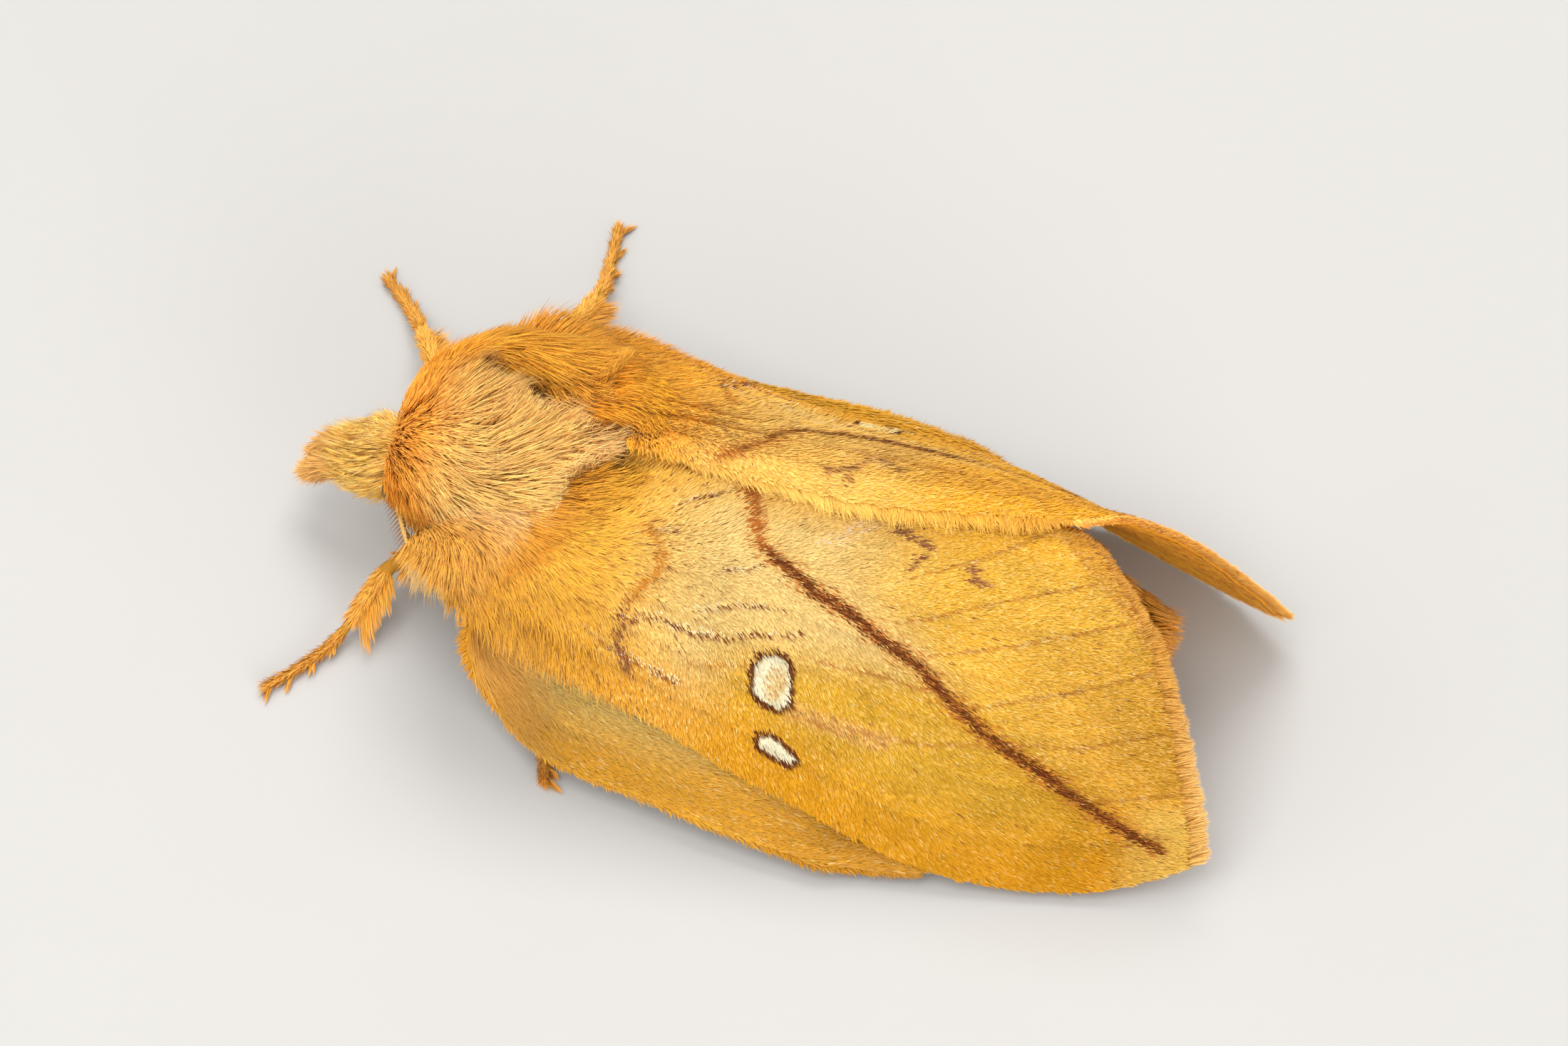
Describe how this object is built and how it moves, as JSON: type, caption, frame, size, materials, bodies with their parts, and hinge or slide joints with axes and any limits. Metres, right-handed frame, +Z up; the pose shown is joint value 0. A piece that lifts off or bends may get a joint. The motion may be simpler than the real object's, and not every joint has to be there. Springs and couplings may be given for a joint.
{
  "type": "drinker moth",
  "caption": "Life-size still model of a resting moth with roof-like folded wings, furry body, laid-back feelers and spread legs, standing on its feet.",
  "frame": {"origin": "middle of the bounding box, on the floor under the feet", "axes": "+X along the body towards the wing tips, with the head towards -X; +Y towards the moth's right side; +Z up"},
  "size_m": [0.0414, 0.0272, 0.0142],
  "materials": {
    "head": "short dense fur",
    "eyes": "dark, smooth",
    "palps": "long shaggy scales",
    "feelers": "cream scaled shaft with brown comb teeth",
    "thorax": "long silky fur",
    "abdomen": "fur with a short tuft",
    "forewings": "fine overlapping scales",
    "hindwings": "fine overlapping scales",
    "legs": "feathery scales"
  },
  "bodies": {
    "root": {"head": "head", "eye_left": "eyes", "eye_right": "eyes", "palp_left": "palps", "palp_right": "palps", "antenna_left": "feelers", "antenna_right": "feelers", "thorax": "thorax", "abdomen": "abdomen", "forewing_left": "forewings", "forewing_right": "forewings", "hindwing_left": "hindwings", "hindwing_right": "hindwings", "leg_fore_left_femur": "legs", "leg_fore_left_tibia": "legs", "leg_fore_left_tarsus": "legs", "leg_fore_right_femur": "legs", "leg_fore_right_tibia": "legs", "leg_fore_right_tarsus": "legs", "leg_mid_left_femur": "legs", "leg_mid_left_tibia": "legs", "leg_mid_left_tarsus": "legs", "leg_mid_right_femur": "legs", "leg_mid_right_tibia": "legs", "leg_mid_right_tarsus": "legs", "leg_hind_left_femur": "legs", "leg_hind_left_tibia": "legs", "leg_hind_left_tarsus": "legs", "leg_hind_right_femur": "legs", "leg_hind_right_tibia": "legs", "leg_hind_right_tarsus": "legs"}
  },
  "joints": []
}
